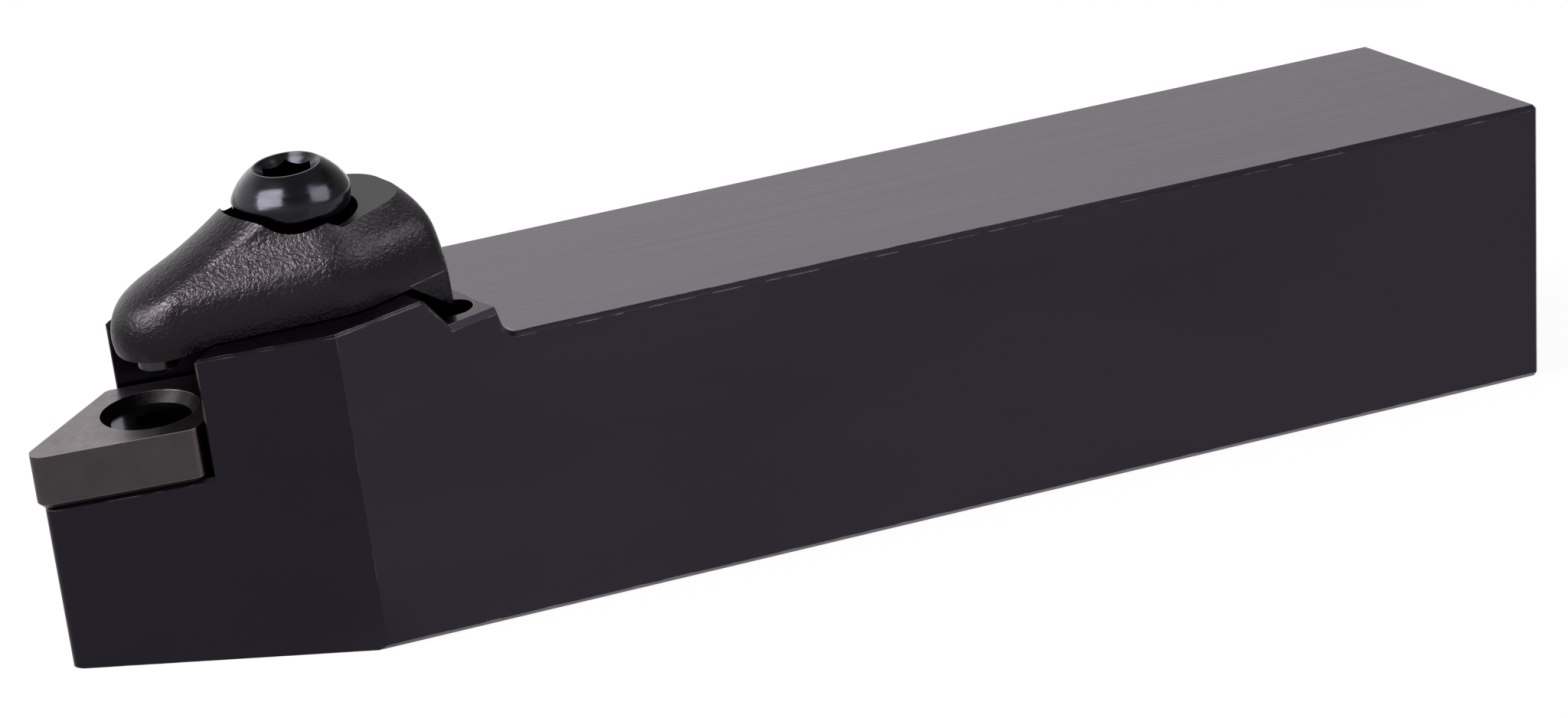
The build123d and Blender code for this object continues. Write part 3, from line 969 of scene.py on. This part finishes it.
def add_soft_box(name, target, towards, up, size, power, kept):
    """Rectangular area lamp, a metre from target along towards, with its height along up."""
    lamp = bpy.data.lights.new(name, "AREA")
    lamp.shape = "RECTANGLE"
    lamp.size, lamp.size_y = size
    lamp.energy = power
    facing_out = Vector(towards).normalized()
    upright = (Vector(up) - facing_out * facing_out.dot(Vector(up))).normalized()
    across = upright.cross(facing_out)
    turn = Matrix((across, upright, facing_out)).transposed().to_4x4()
    stand = bpy.data.objects.new(name, lamp)
    stand.matrix_world = Matrix.Translation(target + facing_out) @ turn
    stand.visible_camera = False
    bpy.context.scene.collection.objects.link(stand)
    if kept:
        flags = bpy.data.collections.new(name + "_flags")
        for node, lit in kept.items():
            flags.objects.link(frame["nodes"][node])
            state = "INCLUDE" if lit else "EXCLUDE"
            flags.collection_objects[-1].light_linking.link_state = state
        stand.light_linking.receiver_collection = flags


def add_camera(settings):
    """Camera at its place, aimed at its target."""
    camera = bpy.data.cameras.new("camera")
    camera.lens = settings.camera_lens
    camera.sensor_width = SENSOR_WIDTH
    camera.clip_end = FAR_CLIP
    viewer = bpy.data.objects.new("camera", camera)
    sight = Vector(settings.camera_target) - Vector(settings.camera_place)
    turn = sight.to_track_quat("-Z", "Y").to_matrix().to_4x4()
    roll = Matrix.Rotation(settings.camera_roll, 4, "Z")
    viewer.matrix_world = Matrix.Translation(settings.camera_place) @ turn @ roll
    bpy.context.scene.collection.objects.link(viewer)
    bpy.context.scene.camera = viewer


def lay_floor(settings):
    """Square of paper under the object."""
    half = settings.floor_half
    mesh = bpy.data.meshes.new("floor")
    corners = [(-half, -half, 0), (half, -half, 0), (half, half, 0), (-half, half, 0)]
    mesh.from_pydata(corners, [], [(0, 1, 2, 3)])
    mesh.materials.append(paper_white())
    floor = bpy.data.objects.new("floor", mesh)
    floor.location.z = -FLOOR_DROP
    bpy.context.scene.collection.objects.link(floor)


def set_world(settings):
    """Plain room: white to the eye and around the horizon in gloss, falling off overhead."""
    world = bpy.data.worlds.new("studio")
    bpy.context.scene.world = world
    world.use_nodes = True
    tree = world.node_tree
    tree.nodes.clear()
    rays = add_node(tree, "ShaderNodeLightPath")
    place = add_node(tree, "ShaderNodeTexCoord")
    parts = add_node(tree, "ShaderNodeSeparateXYZ", {}, {"Vector": (place, "Generated")})
    fall = add_node(
        tree, "ShaderNodeMapRange", {"interpolation_type": "SMOOTHSTEP"},
        {
            "Value": (parts, "Z"), "From Min": OVERHEAD_FROM, "From Max": OVERHEAD_TO,
            "To Min": 1.0, "To Max": settings.overhead_level,
        },
    )
    towards = add_node(
        tree, "ShaderNodeVectorMath", {"operation": "DOT_PRODUCT"},
        {0: (place, "Generated"), 1: SHEET_WAY},
    )
    sheet = add_node(
        tree, "ShaderNodeMapRange", {"interpolation_type": "SMOOTHSTEP"},
        {
            "Value": (towards, "Value"), "From Min": SHEET_FROM, "From Max": SHEET_TO,
            "To Min": 0.0, "To Max": settings.sheet_level,
        },
    )
    grey = add_node(
        tree, "ShaderNodeMapRange", {"interpolation_type": "SMOOTHSTEP"},
        {
            "Value": (parts, "X"), "From Min": GREY_FROM, "From Max": GREY_TO,
            "To Min": 1.0, "To Max": settings.grey_level,
        },
    )
    around = add_node(
        tree, "ShaderNodeMath", {"operation": "ADD"}, {0: (grey, "Result"), 1: (sheet, "Result")}
    )
    level = add_node(
        tree, "ShaderNodeMath", {"operation": "MULTIPLY"},
        {0: (around, "Value"), 1: (fall, "Result")},
    )
    gloss = add_node(tree, "ShaderNodeBackground", {}, {"Strength": (level, "Value")})
    soft = add_node(tree, "ShaderNodeBackground", {}, {"Strength": settings.room_level})
    eye = add_node(
        tree, "ShaderNodeBackground", {}, {"Color": linear(settings.paper_colour)}
    )
    unseen = add_node(
        tree, "ShaderNodeMixShader", {},
        {0: (rays, "Is Glossy Ray"), 1: (soft, "Background"), 2: (gloss, "Background")},
    )
    seen = add_node(
        tree, "ShaderNodeMixShader", {},
        {0: (rays, "Is Camera Ray"), 1: (unseen, "Shader"), 2: (eye, "Background")},
    )
    add_node(tree, "ShaderNodeOutputWorld", {}, {"Surface": (seen, "Shader")})


class TOOL_HOLDER_OT_stage(Operator):
    """Set up the camera, the lamps, the floor and the room"""

    bl_idname = "tool_holder.stage"
    bl_label = "Stage"

    def execute(self, context):
        settings = context.scene.stage_settings
        context.scene.view_settings.view_transform = "Standard"
        add_camera(settings)
        lay_floor(settings)
        low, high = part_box("clamp_screw")
        head = Vector(((low.x + high.x) / 2, 0.0, high.z))
        for name, towards, up, size, kept in SOFT_BOXES:
            power = getattr(settings, name + "_power")
            add_soft_box(name + "_box", head, towards, up, size, power, kept)
        set_world(settings)
        return {"FINISHED"}


class TOOL_HOLDER_PT_panel(Panel):
    """Lists the steps"""

    bl_label = "Turning Tool Holder"
    bl_idname = "TOOL_HOLDER_PT_panel"
    bl_space_type = "VIEW_3D"
    bl_region_type = "UI"
    bl_category = "Tool Holder"

    def draw(self, context):
        for step in STEPS:
            self.layout.operator(step.bl_idname)


STEPS = (
    TOOL_HOLDER_OT_body,
    TOOL_HOLDER_OT_shim,
    TOOL_HOLDER_OT_clamp,
    TOOL_HOLDER_OT_screw,
    TOOL_HOLDER_OT_spring,
    TOOL_HOLDER_OT_stage,
)
SETTINGS = (
    ("stage_settings", StageSettings),
    ("finish_settings", FinishSettings),
    ("spring_settings", SpringSettings),
    ("thread_settings", ThreadSettings),
)


def register():
    for name, group in SETTINGS:
        bpy.utils.register_class(group)
        setattr(bpy.types.Scene, name, PointerProperty(type=group))
    for step in STEPS:
        bpy.utils.register_class(step)
    bpy.utils.register_class(TOOL_HOLDER_PT_panel)


def unregister():
    bpy.utils.unregister_class(TOOL_HOLDER_PT_panel)
    for step in reversed(STEPS):
        bpy.utils.unregister_class(step)
    for name, group in reversed(SETTINGS):
        delattr(bpy.types.Scene, name)
        bpy.utils.unregister_class(group)


def main():
    register()
    bpy.ops.tool_holder.body()
    bpy.ops.tool_holder.shim()
    bpy.ops.tool_holder.clamp()
    bpy.ops.tool_holder.screw()
    bpy.ops.tool_holder.spring()
    bpy.ops.tool_holder.stage()


if __name__ == "__main__":
    main()
